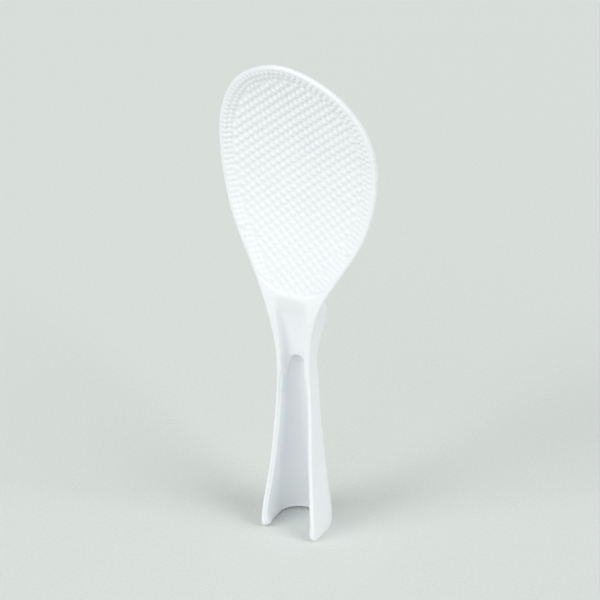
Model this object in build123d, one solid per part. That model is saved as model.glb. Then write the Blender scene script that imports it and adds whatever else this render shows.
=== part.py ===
"""Self-standing rice paddle: a dished blade with a smooth rim, a scooped neck and a U-shaped handle."""
import os
from math import asin, degrees

from build123d import *

# Frame: +Z up, front towards -Y, origin on the floor at the middle of the bounding box, millimetres.

# Lengths of the handle, from the floor to the neck, and of the blade above it
handle_length = 100.0
blade_length = 100.0
blade_half_width = 32.3

# Blade outline seen from the front, right half, from the neck up
outline_height_shares = [0.0, 0.055, 0.11, 0.2, 0.33, 0.46, 0.59, 0.72, 0.84, 0.92, 0.98]
outline_width_shares = [0.347, 0.42, 0.505, 0.662, 0.858, 0.96, 1.0, 0.954, 0.793, 0.582, 0.276]
inset_steps = 24

# Blade seen from the side: two tangent arcs that meet at its deepest height, straight towards the neck
deepest_height_share = 0.52
deepest_y = -2.5
upper_bend_radius = 94.5
lower_bend_radius = 150.0
straight_below_height_share = 0.26
dish_radius = 375.0

# Rim, and the web inside it
rim_thickness = 2.4
rim_width = 1.8
rim_bottom_height_share = 0.11
rim_outer_edge_radius = 0.8
rim_inner_edge_radius = 0.35
web_recess = 0.5
web_bottom_height_share = 0.049
web_end_width_share = 0.458

# Handle sections from the floor to the neck
handle_height_shares = [0.0, 0.08, 0.24, 0.42, 0.6, 0.72, 0.84, 0.92]
handle_half_widths = [11.7, 11.5, 9.9, 8.5, 7.6, 7.1, 7.8, 9.1]
handle_fronts = [-10.3, -11.3, -9.4, -7.7, -6.6, -7.0, -7.8, -8.4]
handle_backs = [10.5, 11.3, 9.2, 7.1, 4.7, 4.1, 5.2, 7.9]
straight_side_share = 0.55
handle_wall = 2.1
edge_radius = 0.9

# Sections of the fairing that carries the blade
fairing_height_shares = [0.0, 0.08, 0.2]
fairing_width_shares = [0.347, 0.45, 0.585]
fairing_fronts = [-8.7, -8.1, -7.2]
fairing_backs = [6.5, -1.5, -4.2]
fairing_side_share = 0.4

# Deep channel: where it starts to narrow, and its round upper end
channel_full_height_share = 0.6
channel_narrow_height_share = 0.69
channel_narrow_half_width = 4.8
channel_narrow_front = -6.8
channel_end_height_share = 0.765
channel_end_radius = 3.3
channel_end_front = -7.2
channel_end_back = 2.0

# Scoop in the neck, from below the lip to its top
scoop_height_shares = [0.66, 0.79, 0.87, 0.95, 1.035]
scoop_half_widths = [4.9, 4.6, 4.8, 5.8, 6.6]
scoop_fronts = [-6.8, -7.5, -8.0, -8.5, -8.6]
scoop_floors = [-1.8, -3.9, -5.2, -6.5, -7.9]
scoop_corner_radius = 2.2

# Where the moulding is divided into its zones
foot_top_height_share = 0.22
neck_bottom_height_share = 0.72
wall_back_y = 0.0

# Room that a cutting body has beyond what it cuts
margin = 5.0

# Moves the handle's middle back, so that the origin is the middle of the whole paddle
handle_middle_y = 1.8

height = handle_length + blade_length


def handle_z(share):
    """The height of a share of the handle's length."""
    return handle_length * share


def blade_z(share):
    """The height of a share of the blade's length."""
    return handle_length + blade_length * share


def section_face(z, half, front, back, straight_share):
    """A D: flat front with rounded corners, straight sides, elliptical back."""
    turn = front + straight_share * (back - front)
    outline = Polyline((-half, turn), (-half, front), (half, front), (half, turn))
    outline += EllipticalCenterArc((0, turn), half, back - turn, arc_size=180)
    face = make_face(outline)
    corners = face.vertices().group_by(Axis.Y)[0]
    return Pos(0, 0, z) * fillet(corners, edge_radius)


def groove_face(z, half, front, back):
    """The space of the channel: elliptical bottom, straight sides and a mouth that rounds outwards."""
    turn = front + straight_side_share * (back - front)
    lip = front + edge_radius
    out = half + edge_radius
    far = front - margin
    outline = EllipticalCenterArc((0, turn), half, back - turn, arc_size=180)
    outline += Line((half, turn), (half, lip))
    outline += Line((-half, turn), (-half, lip))
    outline += RadiusArc((half, lip), (out, front), edge_radius)
    outline += RadiusArc((-half, lip), (-out, front), -edge_radius)
    outline += Polyline((out, front), (out, far), (-out, far), (-out, front))
    return Pos(0, 0, z) * make_face(outline)


def hollow_face(z, half, front, back):
    """The space of the scoop: half an ellipse, open to the front."""
    far = front - margin
    outline = EllipticalCenterArc((0, front), half, back - front, arc_size=180)
    outline += Polyline((half, front), (half, far), (-half, far), (-half, front))
    return Pos(0, 0, z) * make_face(outline)


def front_prism(face):
    """A front-view face, drawn in x and z, extruded through the whole depth."""
    return extrude(Plane.XZ * face, height, both=True)


def space(x, y, z):
    """A big box that reaches up, back and right from the given place."""
    return Pos(x + height, y + height, z + height) * Box(2 * height, 2 * height, 2 * height)


def channel_body():
    """The deep channel of the handle, which narrows to a round upper end."""
    end_z = handle_z(channel_end_height_share)
    rows = zip(handle_height_shares, handle_half_widths, handle_fronts, handle_backs)
    grooves = [
        (handle_z(share), half - handle_wall, front, back - handle_wall)
        for share, half, front, back in rows
        if share <= channel_full_height_share
    ]
    narrow_z = handle_z(channel_narrow_height_share)
    grooves.append((narrow_z, channel_narrow_half_width, channel_narrow_front, channel_end_back))
    grooves.append((end_z, channel_end_radius, channel_end_front, channel_end_back))
    body = loft([groove_face(*groove) for groove in grooves])
    end = front_prism(Pos(0, end_z) * Circle(channel_end_radius))
    return body + (end - space(-height, channel_end_back, -height))


def scoop_body():
    """The neck's scoop: its floor slants down to the lip."""
    rows = zip(scoop_height_shares, scoop_half_widths, scoop_fronts, scoop_floors)
    hollows = [(handle_z(share), half, front, back) for share, half, front, back in rows]
    body = loft([hollow_face(*hollow) for hollow in hollows])
    top_z, top_half = hollows[-1][:2]
    width = 2 * top_half
    return body & front_prism(Pos(0, top_z / 2) * RectangleRounded(width, top_z, scoop_corner_radius))


def handle_body():
    """Handle and neck in one, from the floor to the fairing behind the blade."""
    rows = zip(handle_height_shares, handle_half_widths, handle_fronts, handle_backs)
    faces = [section_face(handle_z(share), *section, straight_side_share) for share, *section in rows]
    rows = zip(fairing_height_shares, fairing_width_shares, fairing_fronts, fairing_backs)
    for share, wide, front, back in rows:
        faces.append(section_face(blade_z(share), blade_half_width * wide, front, back, fairing_side_share))
    return loft(faces) - channel_body() - scoop_body()


def outline_curve():
    """The blade's outline from the neck's right side over the top to its left side."""
    rows = zip(outline_width_shares, outline_height_shares)
    right = [Vector(blade_half_width * wide, blade_z(share)) for wide, share in rows]
    left = [Vector(-point.X, point.Y) for point in reversed(right)]
    return Spline(*right, Vector(0, height), *left)


def inset_curve():
    """The outline moved inwards by the rim's width."""
    curve = outline_curve()
    shares = [step / inset_steps for step in range(inset_steps + 1)]
    return Spline(*[curve @ share + (curve % share).rotate(Axis.Z, 90) * rim_width for share in shares])


def closed_face(curve):
    """The face between a curve and the straight line that joins its ends."""
    return make_face(curve + Line(curve @ 1, curve @ 0))


def web_region():
    """What lies inside the rim, closed below by an arc that ends at the height of the rim's lower ends."""
    end_x = blade_half_width * web_end_width_share
    end_z = blade_z(rim_bottom_height_share)
    top_z = 2 * height
    outline = ThreePointArc((-end_x, end_z), (0, blade_z(web_bottom_height_share)), (end_x, end_z))
    outline += Polyline((end_x, end_z), (height, end_z), (height, top_z))
    outline += Polyline((height, top_z), (-height, top_z), (-height, end_z), (-end_x, end_z))
    return front_prism(closed_face(inset_curve()) & make_face(outline))


def rim_region():
    """The border between the outline and the web, down to the neck."""
    above_neck = Pos(0, blade_z(rim_bottom_height_share) + height / 2) * Rectangle(height, height)
    return front_prism(closed_face(outline_curve()) & above_neck) - web_region()


def dished_layer(front_gap, back_gap):
    """The dished layer between two depths behind the rim's front."""
    deepest_z = blade_z(deepest_height_share)
    up = degrees(asin((height + margin - deepest_z) / upper_bend_radius))
    down = degrees(asin(blade_length * (deepest_height_share - straight_below_height_share) / lower_bend_radius))
    deepest = (deepest_y + front_gap, deepest_z)
    upper = JernArc(deepest, (0, 1), upper_bend_radius, up)
    lower = JernArc(deepest, (0, -1), lower_bend_radius, -down)
    straight = Line(lower @ 1, lower @ 1 + lower % 1 * blade_length * straight_below_height_share)
    back = Pos(back_gap - front_gap, 0)
    front = upper + lower + straight
    outline = front + back * front
    outline += Line(upper @ 1, back * upper @ 1)
    outline += Line(straight @ 1, back * straight @ 1)
    axis = Axis((0, -dish_radius, 0), (0, 0, 1))
    reach = degrees(asin((blade_half_width + margin) / (dish_radius - upper_bend_radius / 4)))
    return revolve((Plane.YZ * make_face(outline)).rotate(axis, -reach), axis, 2 * reach)


def long_edges(rim, nearest, farthest):
    """The rim's edges along the blade that lie between two distances from the outline."""
    outline = outline_curve()
    chosen = []
    for edge in rim.edges():
        middle = edge.position_at(0.5)
        gap = outline.distance_to(Vector(middle.X, middle.Z, 0))
        if edge.length > 2 * rim_width and nearest <= gap <= farthest:
            chosen.append(edge)
    return chosen


def blade_rim(region):
    """The smooth raised rim, with rounded edges."""
    rim = dished_layer(0, rim_thickness) & region
    rim = fillet(long_edges(rim, 0, rim_width / 2), rim_outer_edge_radius)
    return fillet(long_edges(rim, rim_width * 2 / 3, rim_width * 2), rim_inner_edge_radius)


def zones(handle):
    """The handle and neck divided into neck, walls, back, feet and heel."""
    above_neck = space(-height, -height, handle_z(neck_bottom_height_share))
    above_foot = space(-height, -height, handle_z(foot_top_height_share))
    behind = space(-height, wall_back_y, -height)
    right = space(0, -height, -height)
    grip = (handle - above_neck) & above_foot
    foot = handle - above_foot
    left_wall = grip - behind - right
    left_foot = foot - behind - right
    return {
        "neck": handle & above_neck,
        "left_wall": left_wall,
        "right_wall": mirror(left_wall, about=Plane.YZ),
        "handle_back": grip & behind,
        "left_foot": left_foot,
        "right_foot": mirror(left_foot, about=Plane.YZ),
        "heel": foot & behind,
    }


def main():
    web_space = web_region()
    rim_space = rim_region()
    nodes = zones(handle_body())
    blade_space = dished_layer(-4 * margin, rim_thickness)
    nodes["neck"] -= blade_space & rim_space
    nodes["neck"] -= blade_space & web_space
    nodes["blade_web"] = dished_layer(web_recess, rim_thickness) & web_space
    nodes["blade_rim"] = blade_rim(rim_space)
    os.makedirs("parts", exist_ok=True)
    for name, shape in nodes.items():
        export_step(Pos(0, handle_middle_y) * shape, f"parts/{name}.step")


if __name__ == "__main__":
    main()
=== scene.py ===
"""Looks for the self-standing rice paddle: white moulded plastic on pale paper in soft studio light."""
from math import cos, radians, sin

import bmesh
import bpy
import numpy as np
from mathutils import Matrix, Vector

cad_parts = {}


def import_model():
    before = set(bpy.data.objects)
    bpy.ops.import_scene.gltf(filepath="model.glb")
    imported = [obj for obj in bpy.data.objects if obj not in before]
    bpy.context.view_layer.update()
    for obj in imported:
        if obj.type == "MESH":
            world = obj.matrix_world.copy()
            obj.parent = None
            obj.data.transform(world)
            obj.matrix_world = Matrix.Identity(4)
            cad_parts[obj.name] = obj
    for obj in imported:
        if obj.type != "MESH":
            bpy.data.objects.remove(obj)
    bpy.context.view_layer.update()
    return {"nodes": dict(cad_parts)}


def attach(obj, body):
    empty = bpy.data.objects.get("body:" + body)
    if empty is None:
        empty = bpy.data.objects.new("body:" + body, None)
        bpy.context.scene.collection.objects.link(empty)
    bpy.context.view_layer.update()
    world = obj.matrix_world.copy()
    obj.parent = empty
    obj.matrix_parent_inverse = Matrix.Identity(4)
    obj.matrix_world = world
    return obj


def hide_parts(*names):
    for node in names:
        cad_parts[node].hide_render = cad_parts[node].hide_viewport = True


# The frame is in metres. Sizes and places of the paddle are written in millimetres and multiplied by MM.
# A name that ends in FADE holds the two values between which a change sets in or runs out.
# A name that ends in SPAN holds four heights: a change sets in between the first two and runs out
# between the last two.
MM = 0.001

# Camera: the photograph's viewing angle in degrees, distance and target in metres, the rest in millimetres
AZIMUTH = 29.0
ELEVATION = 29.5
DISTANCE = 0.95
LOOK_AT = Vector((0, 0.0007, 0.100))
SENSOR_WIDTH = 36.0
LENS = 153.6

# Suns: the direction they shine from, how wide they are in degrees, and their strength
SUNS = {
    "left_light": ((-0.65, -1.0, 0.9), 30, 0.86),
    "right_light": ((1.07, -0.1, 0.85), 36, 1.2),
    "front_light": ((-0.05, -1.0, 0.48), 60, 0.72),
}
WORLD_COLOR = (1, 1, 1, 1)
WORLD_STRENGTH = 0.44

# Plastic: the two colours and roughnesses that its clouds vary between, and the depth of its fine grain
PLASTIC_COLORS = (0.874, 0.897, 0.919), (0.889, 0.912, 0.933)
PLASTIC_ROUGHNESS = (0.26, 0.34)
GRAIN_HEIGHT = 0.04

# Paper: the two colours that its clouds vary between, and half the floor's side in metres
PAPER_COLORS = (0.708, 0.75, 0.722), (0.755, 0.798, 0.77)
FLOOR_HALF_SIZE = 3.0

# The blade's outline as in the part's source, and the arc (the smile) that closes its dotted face below
NECK_TOP = 100.0
BLADE_LENGTH = 100.0
BLADE_HALF_WIDTH = 32.3
OUTLINE_HEIGHT_SHARES = (0.0, 0.055, 0.11, 0.2, 0.33, 0.46, 0.59, 0.72, 0.84, 0.92, 0.98)
OUTLINE_WIDTH_SHARES = (0.347, 0.42, 0.505, 0.662, 0.858, 0.96, 1.0, 0.954, 0.793, 0.582, 0.276)
OUTLINE_POINTS = 600
RIM_WIDTH = 1.8
SMILE_BOTTOM = 104.9
SMILE_RADIUS = 21.0

# Where the moulding is divided into its zones: foot, walls and neck as in the part's source
FOOT_TOP = 22.0
NECK_BOTTOM = 72.0
WALL_BACK_Y = 1.8
BLADE_BOTTOM = 104.2

# Remeshing of the shell, the smoothing's step and its longer step back, and how exact cuts and places are
VOXEL = 0.3
SMOOTHING_SHARE = 0.5
BACK_STEP_RATIO = 1.04
SOFTENING_STEPS = 6
CUT_TOLERANCE = 0.0001
PLACE_TOLERANCE = 0.01
SMALLEST_RISE = 1e-9

# Points handled at a time, so that their distances fit in memory
BLOCK = 4096

# The foot: its outline at the floor, and the share of it that is wall
FOOT_HALF_WIDTH = 11.7
FOOT_TURN_Y = 2.94
FOOT_BACK_Y = 12.3
FOOT_WALL_SHARE = 0.18

# The foot's tips: thicker, a little forward, their toes drawn back at the floor
TIP_HEIGHT = 9.0
TIP_FORWARD = 0.4
TIP_INWARD = 0.7
TIP_FRONT_FADE = (3.0, 7.0)
TIP_INNER_SIDE_FADE = (0.2, 0.7)
TOE_TOP = 2.5
TOE_BACK = 1.1
TOE_FRONT_FADE = (4.0, 7.0)

# The foot's underside, which rises inside the wall, and its rounding
UNDERCUT = 1.4
UNDERCUT_TOP = 2.8
UNDERCUT_WALL_FADE = (0.25, 1.0)
FOOT_ROUNDING_FADE = (0.8, 2.6)
FOOT_ROUNDING_STEPS = 16

# The neck's sides, drawn in behind the blade's lower end
SHOULDER_INSET = 1.4
SHOULDER_SPAN = (98, 104, 106, 113)
SHOULDER_DEPTH_FADE = (-4.5, -1.0)
SHOULDER_SIDE_FADE = (2.0, 8.0)

# The scoop at five heights: the solids' half widths, fronts and floors, and the depths wanted
SCOOP_HEIGHTS = (66, 79, 87, 95, 103.5)
SCOOP_HALF_WIDTHS = (4.9, 4.6, 4.8, 5.8, 6.6)
SCOOP_FRONTS = (-5.0, -5.7, -6.2, -6.7, -6.8)
SCOOP_FLOORS = (0.0, -2.1, -3.4, -4.7, -6.1)
SCOOP_DEPTHS = (5.4, 4.5, 3.5, 2.5, 0.8)
SCOOP_OLD_POWER = 2
SCOOP_NEW_POWER = 4
SCOOP_BEHIND_FADE = (0.3, 5.0)
SCOOP_SPAN = (70, 76, 101, 105)

# The scoop's upper end, part of which is filled up to the neck's front
NECK_FRONT_HEIGHTS = (92, 100, 108)
NECK_FRONTS = (-6.6, -6.9, -6.3)
TOP_FILL_SHARE = 0.5
TOP_FILL_DEEPEST = 3.0
TOP_FILL_SPAN = (97, 103.5, 105, 107)

# The scoop's lip, moved down
LIP_DROP = 2.7
LIP_DROP_SPAN = (65, 75, 82, 93)
LIP_DROP_SIDE_FADE = (5.0, 7.0)
LIP_DROP_BACK_FADE = (3.9, 5.9)

# Rounding of the scoop, its lip, its upper end, and the back of the fairing that carries the blade
SCOOP_ROUNDING_SPAN = (68, 72, 106, 109)
SCOOP_ROUNDING_SIDE_FADE = (5.5, 8.0)
SCOOP_ROUNDING_STEPS = 12
LIP_ROUNDING_SPAN = (72, 74.5, 79, 81)
LIP_ROUNDING_SIDE_FADE = (3.2, 4.4)
LIP_ROUNDING_STEPS = 24
TOP_ROUNDING_FADE = (95, 100)
TOP_ROUNDING_STEPS = 44
FAIRING_TOP = 118.7
FAIRING_SPAN = (98, 104, FAIRING_TOP, FAIRING_TOP + 4)
FAIRING_BACK_FADE = (0.0, 0.4)
FAIRING_ROUNDING_STEPS = 60

# What counts as blade, the inset given to all else, and the fade from sides to front
BLADE_MARGIN = 1.0
OFF_BLADE_INSET = -1.0
FRONT_FADE = (0.3, 0.6)

# The rim's round bead, and the band that slopes up to the rim inside it
BEAD_WIDTH = 1.4
BEAD_DROP = 0.5
BEAD_FADE = (108, 116)
BAND_RISE = 0.45
BAND_INNER_FADE = (-0.3, 3.9)
BAND_OUTER_FADE = (-0.5, 0.2)
BAND_SMILE_FADE = (-0.2, 1.5)

# Dots: the lattice, the two rings beside the rim, one dome, and where dots may stand
DOT_COLUMN = 2.09
DOT_ROW = 1.8
RING_PITCH = 2.15
RING_INSETS = (1.05, 2.85)
LATTICE_INSET = 4.35
SMILE_GAP = 1.0
DOT_RADIUS = 1.38
DOT_HEIGHT = 0.66
DOME_POWER = 1.5
LOWEST_DOT_SHARE = 0.32
DOT_LEAST_INSET = -0.2
DOT_LEAST_FACING = 0.5
FAIRING_DOT_GAP = 2


def outline_points(count):
    """The outline from the neck's right side over the top to its left side: a cubic through its points."""
    shares = zip(OUTLINE_HEIGHT_SHARES, OUTLINE_WIDTH_SHARES)
    right = [(BLADE_HALF_WIDTH * wide, NECK_TOP + BLADE_LENGTH * high) for high, wide in shares]
    knots = np.array(right + [(0.0, NECK_TOP + BLADE_LENGTH)] + [(-x, z) for x, z in reversed(right)])
    steps = np.hypot(*np.diff(knots, axis=0).T)
    at = np.concatenate(([0.0], np.cumsum(steps)))
    total = len(knots)
    matrix = np.zeros((total, total))
    sides = np.zeros((total, 2))
    matrix[0, 0] = matrix[-1, -1] = 1.0
    for i in range(1, total - 1):
        matrix[i, i - 1 : i + 2] = steps[i - 1], 2 * (steps[i - 1] + steps[i]), steps[i]
        sides[i] = 6 * ((knots[i + 1] - knots[i]) / steps[i] - (knots[i] - knots[i - 1]) / steps[i - 1])
    bend = np.linalg.solve(matrix, sides)
    place = np.linspace(0, at[-1], count)
    i = np.clip(np.searchsorted(at, place, "right") - 1, 0, total - 2)
    left_to_go, gone, step = (at[i + 1] - place)[:, None], (place - at[i])[:, None], steps[i][:, None]
    return (
        (bend[i] * left_to_go**3 + bend[i + 1] * gone**3) / (6 * step)
        + (knots[i] / step - bend[i] * step / 6) * left_to_go
        + (knots[i + 1] / step - bend[i + 1] * step / 6) * gone
    )


def inside_outline(points, outline):
    """How far each (x, z) lies inside the outline, negative outside, in millimetres."""
    ends = np.roll(outline, -1, axis=0)
    run = ends - outline
    squares = (run**2).sum(axis=1)
    result = np.empty(len(points))
    for first in range(0, len(points), BLOCK):
        some = points[first : first + BLOCK, None]
        share = np.clip(((some - outline) * run).sum(axis=2) / squares, 0, 1)
        share[:, -1] = 0.0
        gap = np.sqrt(((some - outline - share[..., None] * run) ** 2).sum(axis=2)).min(axis=1)
        x, z = some[..., 0], some[..., 1]
        spans = (outline[:, 1] > z) != (ends[:, 1] > z)
        rise = np.where(run[:, 1] == 0, SMALLEST_RISE, run[:, 1])
        crossings = (spans & (x < outline[:, 0] + (z - outline[:, 1]) * run[:, 0] / rise)).sum(axis=1)
        result[first : first + BLOCK] = np.where(crossings % 2 == 1, gap, -gap)
    return result


def above_smile(points):
    """How far each (x, z) lies above the arc that closes the dotted face below."""
    x, z = points[:, 0], points[:, 1]
    centre = SMILE_BOTTOM + SMILE_RADIUS
    reach = np.sqrt(np.maximum(SMILE_RADIUS**2 - x**2, 0))
    return np.where(np.abs(x) < SMILE_RADIUS, z - (centre - reach), z - centre)


def smooth_step(values, low, high):
    """0 below the low value, 1 above the high one, and a smooth rise between them."""
    t = np.clip((values - low) / (high - low), 0, 1)
    return t * t * (3 - 2 * t)


def within(values, start, full, late, end):
    """1 between the two middle values, 0 outside the outer two, and smooth between."""
    return smooth_step(values, start, full) * (1 - smooth_step(values, late, end))


def superellipse(across, power):
    """The depth of a superellipse at a share of its half width: 1 in the middle and 0 at the side."""
    return (1 - across**power) ** (1 / power)


def new_object(name, data):
    """An object for the given data, in the scene."""
    piece = bpy.data.objects.new(name, data)
    bpy.context.scene.collection.objects.link(piece)
    return piece


def read_array(items, name, width, kind=float):
    """One property of all items: a row of the given width for each, or one flat array for width 1."""
    values = np.empty(len(items) * width, dtype=kind)
    items.foreach_get(name, values)
    return values.reshape(-1, width) if width > 1 else values


def normal_array(mesh):
    """The mesh's point normals."""
    return read_array(mesh.vertex_normals, "vector", 3)


def write_points(mesh, points):
    """Gives the mesh its points, from millimetres, and renews its normals."""
    mesh.vertices.foreach_set("co", (points * MM).ravel())
    mesh.update()


def fused_shell(nodes):
    """The moulding in one skin: the CAD solids joined and remeshed."""
    grid = bmesh.new()
    for node in nodes:
        grid.from_mesh(node.data)
    mesh = bpy.data.meshes.new("moulding")
    grid.to_mesh(mesh)
    grid.free()
    raw = new_object("moulding", mesh)
    remesh = raw.modifiers.new("fuse", "REMESH")
    remesh.mode = "VOXEL"
    remesh.voxel_size = VOXEL * MM
    bpy.context.view_layer.update()
    shell = bpy.data.meshes.new_from_object(raw.evaluated_get(bpy.context.evaluated_depsgraph_get()))
    bpy.data.objects.remove(raw)
    return shell


def smoothed(points, edges, weights, shares):
    """Moves points towards their neighbours' middle, once for each share, by share times weight."""
    count = len(points)
    degree = np.bincount(edges.ravel(), minlength=count)
    start, end = edges.T
    for share in shares:
        middle = np.empty_like(points)
        for axis in range(3):
            values = points[:, axis]
            total = np.bincount(start, values[end], count) + np.bincount(end, values[start], count)
            middle[:, axis] = total / degree
        points = points + (share * weights)[:, None] * (middle - points)
    return points


def soften(points, edges, steps):
    """Smoothing with a slightly longer step back after each step, so walls keep their size."""
    shares = [SMOOTHING_SHARE, -BACK_STEP_RATIO * SMOOTHING_SHARE] * steps
    return smoothed(points, edges, np.ones(len(points)), shares)


def round_off(points, edges, weights, steps):
    """Plain smoothing, which rounds the edges that have a weight."""
    return smoothed(points, edges, weights, [SMOOTHING_SHARE] * steps)


def blunt_foot(points, normals):
    """Blunt, thicker tips at the front, and an underside that rises towards the inside."""
    x, y, z = points.T.copy()
    low = 1 - smooth_step(z, 0.0, TIP_HEIGHT)
    tip = low * smooth_step(-y, *TIP_FRONT_FADE)
    inner = smooth_step(-normals[:, 0] * np.sign(x), *TIP_INNER_SIDE_FADE)
    points[:, 1] -= TIP_FORWARD * tip
    points[:, 0] -= TIP_INWARD * tip * inner * np.sign(x)
    points[:, 1] += TOE_BACK * smooth_step(-y, *TOE_FRONT_FADE) * np.clip(1 - z / TOE_TOP, 0, 1) ** 2
    across = np.hypot(x / FOOT_HALF_WIDTH, np.maximum(y - FOOT_TURN_Y, 0) / (FOOT_BACK_Y - FOOT_TURN_Y))
    inside = smooth_step((1 - across) / FOOT_WALL_SHARE, *UNDERCUT_WALL_FADE)
    points[:, 2] += UNDERCUT * inside * np.clip(1 - z / UNDERCUT_TOP, 0, 1)
    return points


def slim_shoulders(points):
    """The neck's sides drawn in behind the blade's lower end."""
    x, y, z = points.T.copy()
    part = within(z, *SHOULDER_SPAN) * smooth_step(y, *SHOULDER_DEPTH_FADE)
    points[:, 0] -= SHOULDER_INSET * part * np.sign(x) * smooth_step(np.abs(x), *SHOULDER_SIDE_FADE)
    return points


def steep_scoop(points):
    """A scoop with a flatter floor, steep sides, a fuller upper end and a lip that lies lower."""
    x, y, z = points.T.copy()
    tables = SCOOP_HALF_WIDTHS, SCOOP_FRONTS, SCOOP_FLOORS, SCOOP_DEPTHS
    half, front, floor, depth = (np.interp(z, SCOOP_HEIGHTS, table) for table in tables)
    across = np.clip(np.abs(x) / half, 0, 1)
    old = front + (floor - front) * superellipse(across, SCOOP_OLD_POWER)
    new = front + depth * superellipse(across, SCOOP_NEW_POWER)
    near = (1 - smooth_step(y - old, *SCOOP_BEHIND_FADE)) * (across < 1)
    points[:, 1] += (new - old) * near * within(z, *SCOOP_SPAN)
    neck_front = np.interp(z, NECK_FRONT_HEIGHTS, NECK_FRONTS)
    step = np.clip(points[:, 1] - neck_front, 0, TOP_FILL_DEEPEST) * (across < 1) * (y < 0)
    points[:, 1] -= TOP_FILL_SHARE * step * within(z, *TOP_FILL_SPAN)
    middle = 1 - smooth_step(np.abs(x), *LIP_DROP_SIDE_FADE)
    front_part = 1 - smooth_step(y, *LIP_DROP_BACK_FADE)
    points[:, 2] -= LIP_DROP * within(z, *LIP_DROP_SPAN) * middle * front_part
    return points


def rounded_scoop(points, edges):
    """The scoop's edges rounded a little, and those of its lip and its upper end more."""
    scoop = within(points[:, 2], *SCOOP_ROUNDING_SPAN)
    scoop *= 1 - smooth_step(np.abs(points[:, 0]), *SCOOP_ROUNDING_SIDE_FADE)
    points = round_off(points, edges, scoop, SCOOP_ROUNDING_STEPS)
    lip = within(points[:, 2], *LIP_ROUNDING_SPAN)
    lip *= 1 - smooth_step(np.abs(points[:, 0]), *LIP_ROUNDING_SIDE_FADE)
    points = round_off(points, edges, lip, LIP_ROUNDING_STEPS)
    top = scoop * smooth_step(points[:, 2], *TOP_ROUNDING_FADE)
    return round_off(points, edges, top, TOP_ROUNDING_STEPS)


def rounded_fairing(points, edges, normals):
    """The fairing's back smoothed into the blade's."""
    back = smooth_step(normals[:, 1], *FAIRING_BACK_FADE)
    return round_off(points, edges, within(points[:, 2], *FAIRING_SPAN) * back, FAIRING_ROUNDING_STEPS)


def lattice_places(outline):
    """Staggered places inside the rings, above the smile."""
    columns = int(BLADE_HALF_WIDTH / DOT_COLUMN) + 1
    rows = int(BLADE_LENGTH / DOT_ROW) + 1
    places = np.array(
        [
            (i * DOT_COLUMN, SMILE_BOTTOM + SMILE_GAP + j * DOT_ROW)
            for j in range(rows)
            for i in range(-columns, columns + 1)
            if (i + j) % 2 == 0
        ]
    )
    inside = inside_outline(places, outline) > RIM_WIDTH + LATTICE_INSET
    return places[inside & (above_smile(places) > SMILE_GAP - PLACE_TOLERANCE)]


def ring_places(outline, inset):
    """Places at one pitch along the outline moved inwards."""
    run = np.gradient(outline, axis=0)
    inwards = np.stack([-run[:, 1], run[:, 0]], axis=1) / np.hypot(*run.T)[:, None]
    ring = outline + inwards * (RIM_WIDTH + inset)
    steps = np.concatenate(([0.0], np.cumsum(np.hypot(*np.diff(ring, axis=0).T))))
    at = np.linspace(0, steps[-1], int(steps[-1] / RING_PITCH))
    places = np.stack([np.interp(at, steps, ring[:, axis]) for axis in range(2)], axis=1)
    return places[above_smile(places) > SMILE_GAP - PLACE_TOLERANCE]


def dot_heights(points, places):
    """How high the nearest dot stands at each point of the blade."""
    heights = np.zeros(len(points))
    for first in range(0, len(points), BLOCK):
        some = points[first : first + BLOCK, None, [0, 2]]
        near = ((some - places) ** 2).sum(axis=2).min(axis=1) / DOT_RADIUS**2
        heights[first : first + BLOCK] = DOT_HEIGHT * np.clip(1 - near, 0, 1) ** DOME_POWER
    share = smooth_step(points[:, 2], SMILE_BOTTOM, NECK_TOP + BLADE_LENGTH)
    return heights * (LOWEST_DOT_SHARE + (1 - LOWEST_DOT_SHARE) * share)


def dressed_blade(points, normals):
    """The rim's bead, the band that slopes up to the rim, and the dots on both faces."""
    outline = outline_points(OUTLINE_POINTS)
    place = points[:, [0, 2]]
    blade = points[:, 2] > SMILE_BOTTOM - BLADE_MARGIN
    inset = np.full(len(points), OFF_BLADE_INSET)
    inset[blade] = inside_outline(place[blade], outline) - RIM_WIDTH
    rise = BAND_RISE * (1 - smooth_step(inset, *BAND_INNER_FADE))
    rise *= smooth_step(inset, *BAND_OUTER_FADE) * smooth_step(above_smile(place), *BAND_SMILE_FADE)
    front = smooth_step(-normals[:, 1], *FRONT_FADE)
    bead = 1 - np.clip((inset + RIM_WIDTH) / BEAD_WIDTH, 0, 1)
    drop = BEAD_DROP * bead**2 * blade * smooth_step(points[:, 2], *BEAD_FADE)
    points[:, 1] += (drop - rise) * front
    places = np.concatenate([lattice_places(outline)] + [ring_places(outline, gap) for gap in RING_INSETS])
    dotted = blade & (inset > DOT_LEAST_INSET) & (np.abs(normals[:, 1]) > DOT_LEAST_FACING)
    dotted &= (normals[:, 1] < 0) | (points[:, 2] > FAIRING_TOP + FAIRING_DOT_GAP)
    points[dotted] += dot_heights(points[dotted], places)[:, None] * normals[dotted]
    return points


def shaped_shell(mesh):
    """The shell with softened edges, a blunt foot, a steep scoop, a round fairing and a dressed blade."""
    points = read_array(mesh.vertices, "co", 3) / MM
    edges = read_array(mesh.edges, "vertices", 2, int)
    points = soften(points, edges, SOFTENING_STEPS)
    floor = points[:, 2].min()
    write_points(mesh, points)
    points = blunt_foot(points, normal_array(mesh))
    foot = 1 - smooth_step(points[:, 2], *FOOT_ROUNDING_FADE)
    points = round_off(points, edges, foot, FOOT_ROUNDING_STEPS)
    points = rounded_scoop(steep_scoop(slim_shoulders(points)), edges)
    write_points(mesh, points)
    points = rounded_fairing(points, edges, normal_array(mesh))
    write_points(mesh, points)
    points = dressed_blade(points, normal_array(mesh))
    points[:, 2] -= points[:, 2].min() - max(floor, 0.0)
    write_points(mesh, points)
    mesh.shade_smooth()
    return mesh


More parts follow.
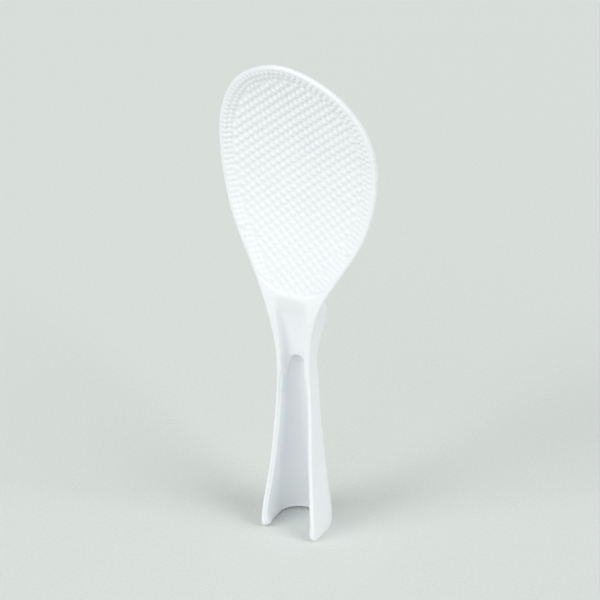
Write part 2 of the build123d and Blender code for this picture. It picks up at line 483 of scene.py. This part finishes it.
def zone_cuts():
    """The planes that bound each zone: a point in millimetres and the direction that is cut away."""
    up, down = (0, 0, 1), (0, 0, -1)
    middle, wall_back = (0, 0, 0), (0, WALL_BACK_Y, 0)
    foot_top, neck_bottom, blade_bottom = ((0, 0, z) for z in (FOOT_TOP, NECK_BOTTOM, BLADE_BOTTOM))
    front, back = (wall_back, (0, 1, 0)), (wall_back, (0, -1, 0))
    left, right = (middle, (1, 0, 0)), (middle, (-1, 0, 0))
    foot = [(foot_top, up)]
    grip = [(foot_top, down), (neck_bottom, up)]
    return {
        "left_foot": foot + [front, left],
        "right_foot": foot + [front, right],
        "heel": foot + [back],
        "left_wall": grip + [front, left],
        "right_wall": grip + [front, right],
        "handle_back": grip + [back],
        "neck": [(neck_bottom, down), (blade_bottom, up)],
        "blade": [(blade_bottom, down)],
    }


def cut_zone(name, shell, normals, cuts):
    """A closed zone of the shell, which keeps the whole shell's normals and marks the caps of its cuts."""
    grid = bmesh.new()
    grid.from_mesh(shell)
    kept = grid.verts.layers.float_vector.new("kept_normal")
    for vertex, normal in zip(grid.verts, normals):
        vertex[kept] = normal
    cap = grid.faces.layers.int.new("cap")
    for place, away in cuts:
        everything = grid.verts[:] + grid.edges[:] + grid.faces[:]
        plane = {"plane_co": Vector(place) * MM, "plane_no": away, "dist": CUT_TOLERANCE * MM}
        found = bmesh.ops.bisect_plane(grid, geom=everything, clear_outer=True, **plane)
        border = [item for item in found["geom_cut"] if isinstance(item, bmesh.types.BMEdge)]
        filled = bmesh.ops.triangle_fill(grid, edges=border, normal=away, use_beauty=True)
        for item in filled["geom"]:
            if isinstance(item, bmesh.types.BMFace):
                item[cap] = 1
    mesh = bpy.data.meshes.new(name)
    grid.to_mesh(mesh)
    grid.free()
    return mesh


def hide_seams(mesh):
    """Shades the zone with the kept normals, and its caps with their own."""
    mesh.shade_smooth()
    corners = read_array(mesh.loops, "vertex_index", 1, int)
    kept = read_array(mesh.attributes["kept_normal"].data, "vector", 3)
    sides = read_array(mesh.polygons, "loop_total", 1, int)
    caps = read_array(mesh.attributes["cap"].data, "value", 1, int)
    flat = read_array(mesh.polygons, "normal", 3)
    chosen = kept[corners]
    on_cap = np.repeat(caps, sides) == 1
    chosen[on_cap] = np.repeat(flat, sides, axis=0)[on_cap]
    mesh.normals_split_custom_set(chosen / np.linalg.norm(chosen, axis=1)[:, None])


def new_material(name):
    """A material, its node tree, its shader and its place in the object's own coordinates."""
    material = bpy.data.materials.new(name)
    material.use_nodes = True
    tree = material.node_tree
    return material, tree, tree.nodes["Principled BSDF"], tree.nodes.new("ShaderNodeTexCoord")


def noise(tree, place, scale, detail):
    """A noise texture, whose Fac varies from place to place."""
    texture = tree.nodes.new("ShaderNodeTexNoise")
    texture.inputs["Scale"].default_value = scale
    texture.inputs["Detail"].default_value = detail
    tree.links.new(place.outputs["Object"], texture.inputs["Vector"])
    return texture


def tint(tree, shader, clouds, low, high, colors):
    """Lets the clouds vary the base colour between two colours, as their Fac goes from low to high."""
    ramp = tree.nodes.new("ShaderNodeValToRGB")
    for element, position, color in zip(ramp.color_ramp.elements, (low, high), colors):
        element.position = position
        element.color = (*color, 1)
    tree.links.new(clouds.outputs["Fac"], ramp.inputs["Fac"])
    tree.links.new(ramp.outputs["Color"], shader.inputs["Base Color"])


def plastic_material():
    """White moulded plastic: faint clouds in its colour and gloss, and a very fine grain."""
    material, tree, shader, place = new_material("white_moulded_plastic")
    shader.inputs["Specular IOR Level"].default_value = 0.45
    clouds = noise(tree, place, scale=45.0, detail=3.0)
    tint(tree, shader, clouds, low=0.35, high=0.65, colors=PLASTIC_COLORS)
    gloss = tree.nodes.new("ShaderNodeMapRange")
    for end, roughness in zip(("To Min", "To Max"), PLASTIC_ROUGHNESS):
        gloss.inputs[end].default_value = roughness
    tree.links.new(clouds.outputs["Fac"], gloss.inputs["Value"])
    tree.links.new(gloss.outputs["Result"], shader.inputs["Roughness"])
    grain = noise(tree, place, scale=2600.0, detail=2.0)
    bump = tree.nodes.new("ShaderNodeBump")
    bump.inputs["Strength"].default_value = 0.08
    bump.inputs["Distance"].default_value = GRAIN_HEIGHT * MM
    tree.links.new(grain.outputs["Fac"], bump.inputs["Height"])
    tree.links.new(bump.outputs["Normal"], shader.inputs["Normal"])
    return material


def paper_material():
    """Pale, matt paper with faint clouds."""
    material, tree, shader, place = new_material("pale_paper")
    shader.inputs["Roughness"].default_value = 0.9
    shader.inputs["Specular IOR Level"].default_value = 0.2
    clouds = noise(tree, place, scale=900.0, detail=3.0)
    tint(tree, shader, clouds, low=0.3, high=0.7, colors=PAPER_COLORS)
    return material


def paper_floor():
    """The plain floor that the paddle stands on."""
    directions = ((-1, -1), (1, -1), (1, 1), (-1, 1))
    mesh = bpy.data.meshes.new("paper_floor")
    corners = [(FLOOR_HALF_SIZE * x, FLOOR_HALF_SIZE * y, 0) for x, y in directions]
    mesh.from_pydata(corners, [], [(0, 1, 2, 3)])
    floor = new_object("paper_floor", mesh)
    mesh.materials.append(paper_material())


def place_camera():
    """The camera at the photograph's viewing angle."""
    data = bpy.data.cameras.new("camera")
    data.sensor_width = SENSOR_WIDTH
    data.lens = LENS
    camera = new_object("camera", data)
    azimuth, elevation = radians(AZIMUTH), radians(ELEVATION)
    away = Vector((sin(azimuth) * cos(elevation), -cos(azimuth) * cos(elevation), sin(elevation)))
    camera.location = LOOK_AT + away * DISTANCE
    camera.rotation_euler = (-away).to_track_quat("-Z", "Y").to_euler()
    bpy.context.scene.camera = camera


def light_scene():
    """Soft suns and an even white surrounding."""
    for name, (direction, angle, strength) in SUNS.items():
        data = bpy.data.lights.new(name, "SUN")
        data.angle = radians(angle)
        data.energy = strength
        light = new_object(name, data)
        light.location = direction
        light.rotation_euler = Vector(direction).to_track_quat("Z", "Y").to_euler()
    world = bpy.data.worlds.new("studio")
    bpy.context.scene.world = world
    world.use_nodes = True
    background = world.node_tree.nodes["Background"]
    background.inputs["Color"].default_value = WORLD_COLOR
    background.inputs["Strength"].default_value = WORLD_STRENGTH


def main():
    """Loads the frame, puts the shells in the nodes' places, and adds floor, camera and lights."""
    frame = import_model()
    plastic = plastic_material()
    shell = shaped_shell(fused_shell(frame["nodes"].values()))
    normals = normal_array(shell)
    for name, cuts in zone_cuts().items():
        nodes = ("blade_rim", "blade_web") if name == "blade" else (name,)
        mesh = cut_zone(f"{name}_shell", shell, normals, cuts)
        hide_seams(mesh)
        piece = new_object(f"{name}_shell", mesh)
        piece.data.materials.append(plastic)
        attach(piece, "root")
        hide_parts(*nodes)
    paper_floor()
    place_camera()
    light_scene()
    bpy.context.scene.view_settings.view_transform = "Standard"


main()
